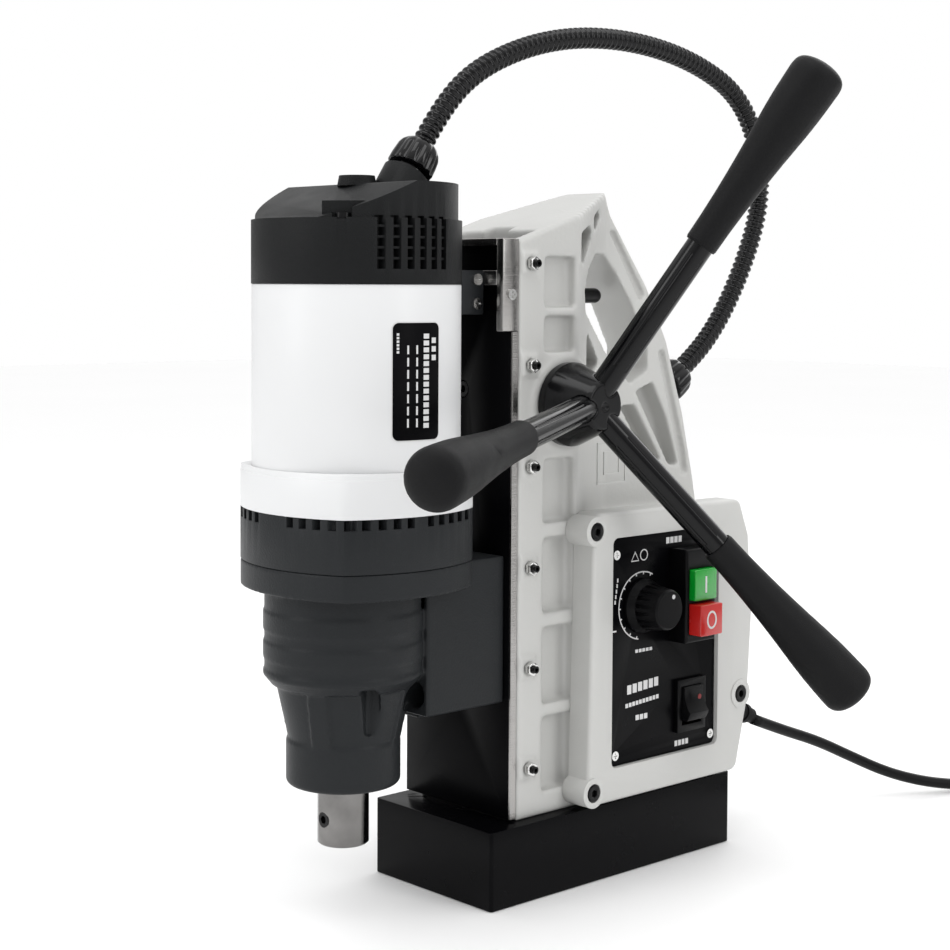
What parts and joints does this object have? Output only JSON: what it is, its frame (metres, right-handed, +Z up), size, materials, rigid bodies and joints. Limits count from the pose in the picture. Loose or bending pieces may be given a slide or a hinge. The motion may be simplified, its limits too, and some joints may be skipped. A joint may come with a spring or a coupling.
{
  "type": "magnetic drill press",
  "caption": "Magnetic-base drill press: motor and hollow spindle on a rack-fed slide, tilted feed arms, conduit and side control box.",
  "frame": {"origin": "centre of the magnet's working face", "axes": "+Z up, -Y towards the motor and spindle, +X towards the control panel"},
  "size_m": [0.2505, 0.6718, 0.4895],
  "materials": {
    "magnet_black": "satin",
    "slide_black": "satin",
    "casting_white": "satin powder coat",
    "cover_white": "fine grain",
    "can_white": "gloss",
    "cap_black": "fine grain",
    "gearbox_grey": "satin",
    "bright_steel": "ground",
    "plated": "zinc plated",
    "black_steel": "blackened",
    "hub_black": "gloss",
    "grip_rubber": "matte",
    "conduit_black": "gloss",
    "lead_black": "satin",
    "panel_black": "printed",
    "switch_black": "moulded",
    "button_green": "translucent gloss",
    "button_red": "translucent gloss",
    "copper": "enamelled winding",
    "potting": "resin",
    "bronze": "machined",
    "lamination": "laminated",
    "fan_grey": "moulded",
    "board_green": "board"
  },
  "bodies": {
    "frame": {"magnet_housing": "magnet_black", "magnet_coil": "copper", "magnet_potting": "potting", "base_bolts": "black_steel", "frame_casting": "casting_white", "gib_strip": "bright_steel", "gib_set_screws": "black_steel", "gib_lock_nuts": "plated", "stop_pin": "black_steel", "shaft_bushes": "bronze", "leg_gland": "conduit_black", "control_cover": "cover_white", "cover_screws": "black_steel", "control_panel": "panel_black", "panel_screws": "plated", "potentiometer": "switch_black", "switch_body": "switch_black", "rocker_bezel": "switch_black", "circuit_board": "board_green", "lead_boot": "grip_rubber", "conduit": "conduit_black", "mains_lead": "lead_black", "lead_coil": "lead_black", "plug_body": "lead_black", "plug_pins": "bright_steel"},
    "carriage": {"slide_plate": "slide_black", "rack": "bright_steel", "rack_screws": "black_steel", "motor_can": "can_white", "motor_ring": "can_white", "rating_plate": "panel_black", "motor_cap": "cap_black", "cap_screws": "plated", "cap_gland": "conduit_black", "gearbox_head": "gearbox_grey", "gearbox_housing": "gearbox_grey", "lug_bolts": "black_steel", "stator": "lamination", "bearings": "bright_steel", "bearing_bridge": "fan_grey", "brush_gear": "copper", "bracket_sides": "bright_steel", "bracket_bars": "bright_steel", "motor_clamp": "gearbox_grey", "bracket_screws": "plated"},
    "feed": {"pinion_shaft": "bright_steel", "hub": "hub_black", "feed_arms": "hub_black", "hand_grips": "grip_rubber"},
    "armature": {"armature_shaft": "bright_steel", "armature_core": "lamination", "cooling_fan": "fan_grey"},
    "layshaft": {"layshaft": "bright_steel"},
    "spindle": {"spindle": "bright_steel", "spindle_gear": "bright_steel", "shank_screws": "black_steel"},
    "start_button": {"start_button": "button_green"},
    "stop_button": {"stop_button": "button_red"},
    "rocker": {"magnet_rocker": "switch_black"},
    "knob": {"speed_knob": "switch_black"}
  },
  "joints": [
    {"name": "carriage_slide", "type": "slide", "parent": "frame", "child": "carriage", "axis": [0, 0, 1], "range_m": [0, 0.16], "deforming": ["conduit"]},
    {"name": "feed_handle_turn", "type": "hinge", "parent": "frame", "child": "feed", "pos_m": [0, -0.037, 0.272], "axis": [1, 0, 0], "range_deg": [-657.8, 3]},
    {"name": "armature_spin", "type": "hinge", "parent": "carriage", "child": "armature", "pos_m": [0, -0.155, 0.25], "axis": [0, 0, 1], "continuous": true},
    {"name": "layshaft_spin", "type": "hinge", "parent": "carriage", "child": "layshaft", "pos_m": [0.02315, -0.14865, 0.18], "axis": [0, 0, 1], "continuous": true},
    {"name": "spindle_spin", "type": "hinge", "parent": "carriage", "child": "spindle", "pos_m": [0, -0.1635, 0.1], "axis": [0, 0, 1], "continuous": true},
    {"name": "start_button_press", "type": "slide", "parent": "frame", "child": "start_button", "axis": [-1, 0, 0], "range_m": [0, 0.003], "stiffness_N_per_m": 600, "springref_m": -0.001},
    {"name": "stop_button_press", "type": "slide", "parent": "frame", "child": "stop_button", "axis": [-1, 0, 0], "range_m": [0, 0.003], "stiffness_N_per_m": 600, "springref_m": -0.001},
    {"name": "rocker_tilt", "type": "hinge", "parent": "frame", "child": "rocker", "pos_m": [0.0485, 0.055, 0.092], "axis": [0, 1, 0], "range_deg": [0, 16]},
    {"name": "speed_knob_turn", "type": "hinge", "parent": "frame", "child": "knob", "pos_m": [0.053, 0.013, 0.155], "axis": [1, 0, 0], "range_deg": [-150, 150]}
  ],
  "couplings": [
    {"joint": "feed_handle_turn", "follows": "carriage_slide", "rad_per_m": -71.429},
    {"joint": "layshaft_spin", "follows": "armature_spin", "ratio": -0.26316},
    {"joint": "spindle_spin", "follows": "armature_spin", "ratio": 0.098684}
  ]
}
